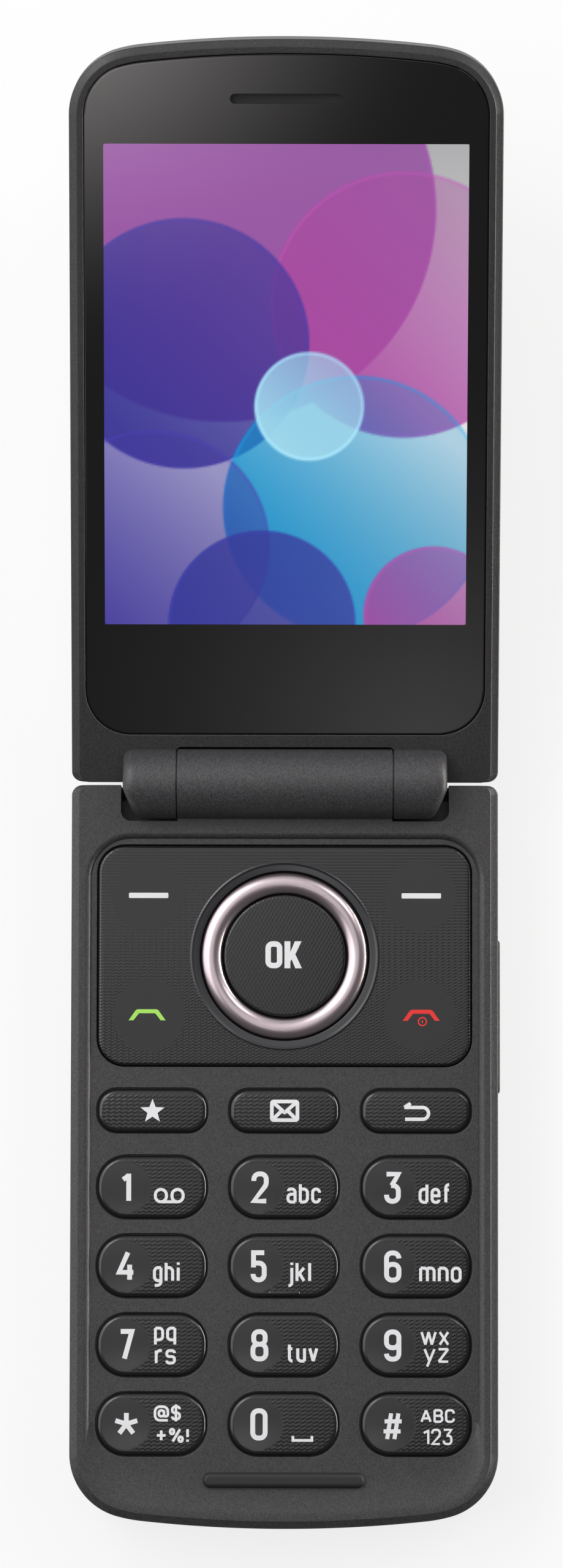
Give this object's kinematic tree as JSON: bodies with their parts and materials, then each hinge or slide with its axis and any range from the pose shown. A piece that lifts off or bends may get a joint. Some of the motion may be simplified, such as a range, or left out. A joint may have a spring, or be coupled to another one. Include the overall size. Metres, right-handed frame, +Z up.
{
  "type": "flip phone",
  "caption": "Clamshell mobile phone, opened, with a large display in the lid and a keypad, navigation ring and soft keys in the base, on a barrel hinge.",
  "frame": {"origin": "centre of the keypad half's flat back, which the phone lies on", "axes": "+X to the right of someone facing the keys, +Y from the keypad towards the display, +Z up"},
  "size_m": [0.0554, 0.1896, 0.0347],
  "materials": {
    "case_plastic": "satin painted plastic, fine grain",
    "key_plastic": "satin moulded plastic",
    "ring_metal": "rose-grey bright plating",
    "lens": "hard-coated clear acrylic over black print",
    "display": "display glass in its frame",
    "black_plastic": "moulded plastic",
    "rubber": "soft moulded rubber",
    "steel": "plain stamped steel",
    "light_metal": "plain aluminium",
    "circuit_board": "solder mask over laminate",
    "copper": "copper on polyimide film"
  },
  "bodies": {
    "base": {"rear_case": "case_plastic", "front_cover": "case_plastic", "battery_door": "case_plastic", "battery": "light_metal", "battery_contacts": "copper", "main_board": "circuit_board", "shield_can": "steel", "snap_domes": "steel", "keypad_mat": "rubber", "charging_socket": "steel", "loudspeaker": "black_plastic", "vibration_motor": "steel", "microphone": "copper", "antenna_carrier": "black_plastic", "base_screws": "steel", "closing_bumper": "rubber", "hinge_cartridge": "steel", "base_flat_cable": "copper", "side_switch": "steel"},
    "lid": {"lid_frame": "case_plastic", "lid_cover": "case_plastic", "main_lens": "lens", "main_display": "display", "display_plate": "light_metal", "earpiece_speaker": "steel", "earpiece_mesh": "steel", "lid_board": "circuit_board", "outer_lens": "lens", "outer_display": "display", "camera_module": "black_plastic", "camera_window": "lens", "lid_magnet": "steel", "lid_screws": "steel", "hinge_shaft": "steel", "hinge_bush": "steel", "hinge_cable_roll": "copper", "lid_flat_cable": "copper"},
    "key_favourites": {"key_favourites": "key_plastic"},
    "key_message": {"key_message": "key_plastic"},
    "key_back": {"key_back": "key_plastic"},
    "key_1": {"key_1": "key_plastic"},
    "key_2": {"key_2": "key_plastic"},
    "key_3": {"key_3": "key_plastic"},
    "key_4": {"key_4": "key_plastic"},
    "key_5": {"key_5": "key_plastic"},
    "key_6": {"key_6": "key_plastic"},
    "key_7": {"key_7": "key_plastic"},
    "key_8": {"key_8": "key_plastic"},
    "key_9": {"key_9": "key_plastic"},
    "key_star": {"key_star": "key_plastic"},
    "key_0": {"key_0": "key_plastic"},
    "key_hash": {"key_hash": "key_plastic"},
    "ok_button": {"ok_button": "key_plastic"},
    "nav_panel_pad": {"nav_panel_pad": "rubber"},
    "nav_panel": {"nav_panel": "key_plastic"},
    "nav_ring_pad": {"nav_ring_pad": "rubber"},
    "nav_ring": {"nav_ring": "ring_metal"},
    "volume_key": {"volume_key": "case_plastic"}
  },
  "joints": [
    {"name": "lid_hinge", "type": "hinge", "parent": "base", "child": "lid", "pos_m": [0, 0.04793, 0.01045], "axis": [1, 0, 0], "range_deg": [0, 165]},
    {"name": "key_favourites_press", "type": "slide", "parent": "base", "child": "key_favourites", "axis": [0, 0, -1], "range_m": [0, 0.0003], "stiffness_N_per_m": 1500},
    {"name": "key_message_press", "type": "slide", "parent": "base", "child": "key_message", "axis": [0, 0, -1], "range_m": [0, 0.0003], "stiffness_N_per_m": 1500},
    {"name": "key_back_press", "type": "slide", "parent": "base", "child": "key_back", "axis": [0, 0, -1], "range_m": [0, 0.0003], "stiffness_N_per_m": 1500},
    {"name": "key_1_press", "type": "slide", "parent": "base", "child": "key_1", "axis": [0, 0, -1], "range_m": [0, 0.0003], "stiffness_N_per_m": 1500},
    {"name": "key_2_press", "type": "slide", "parent": "base", "child": "key_2", "axis": [0, 0, -1], "range_m": [0, 0.0003], "stiffness_N_per_m": 1500},
    {"name": "key_3_press", "type": "slide", "parent": "base", "child": "key_3", "axis": [0, 0, -1], "range_m": [0, 0.0003], "stiffness_N_per_m": 1500},
    {"name": "key_4_press", "type": "slide", "parent": "base", "child": "key_4", "axis": [0, 0, -1], "range_m": [0, 0.0003], "stiffness_N_per_m": 1500},
    {"name": "key_5_press", "type": "slide", "parent": "base", "child": "key_5", "axis": [0, 0, -1], "range_m": [0, 0.0003], "stiffness_N_per_m": 1500},
    {"name": "key_6_press", "type": "slide", "parent": "base", "child": "key_6", "axis": [0, 0, -1], "range_m": [0, 0.0003], "stiffness_N_per_m": 1500},
    {"name": "key_7_press", "type": "slide", "parent": "base", "child": "key_7", "axis": [0, 0, -1], "range_m": [0, 0.0003], "stiffness_N_per_m": 1500},
    {"name": "key_8_press", "type": "slide", "parent": "base", "child": "key_8", "axis": [0, 0, -1], "range_m": [0, 0.0003], "stiffness_N_per_m": 1500},
    {"name": "key_9_press", "type": "slide", "parent": "base", "child": "key_9", "axis": [0, 0, -1], "range_m": [0, 0.0003], "stiffness_N_per_m": 1500},
    {"name": "key_star_press", "type": "slide", "parent": "base", "child": "key_star", "axis": [0, 0, -1], "range_m": [0, 0.0003], "stiffness_N_per_m": 1500},
    {"name": "key_0_press", "type": "slide", "parent": "base", "child": "key_0", "axis": [0, 0, -1], "range_m": [0, 0.0003], "stiffness_N_per_m": 1500},
    {"name": "key_hash_press", "type": "slide", "parent": "base", "child": "key_hash", "axis": [0, 0, -1], "range_m": [0, 0.0003], "stiffness_N_per_m": 1500},
    {"name": "ok_button_press", "type": "slide", "parent": "base", "child": "ok_button", "axis": [0, 0, -1], "range_m": [0, 0.0003], "stiffness_N_per_m": 1500},
    {"name": "nav_panel_rock_lengthwise", "type": "hinge", "parent": "base", "child": "nav_panel_pad", "pos_m": [0, 0.02577, 0.0079], "axis": [1, 0, 0], "range_deg": [-0.6, 0.6], "stiffness_Nm_per_rad": 2},
    {"name": "nav_panel_rock_sideways", "type": "hinge", "parent": "nav_panel_pad", "child": "nav_panel", "pos_m": [0, 0.02577, 0.00835], "axis": [0, 1, 0], "range_deg": [-0.6, 0.6], "stiffness_Nm_per_rad": 2},
    {"name": "nav_ring_rock_lengthwise", "type": "hinge", "parent": "base", "child": "nav_ring_pad", "pos_m": [0, 0.02577, 0.0079], "axis": [1, 0, 0], "range_deg": [-1, 1], "stiffness_Nm_per_rad": 0.8},
    {"name": "nav_ring_rock_sideways", "type": "hinge", "parent": "nav_ring_pad", "child": "nav_ring", "pos_m": [0, 0.02577, 0.00835], "axis": [0, 1, 0], "range_deg": [-1, 1], "stiffness_Nm_per_rad": 0.8},
    {"name": "volume_key_rock", "type": "hinge", "parent": "base", "child": "volume_key", "pos_m": [0.02545, 0.01808, 0.0045], "axis": [0, 0, 1], "range_deg": [-1.5, 1.5], "stiffness_Nm_per_rad": 0.4}
  ]
}
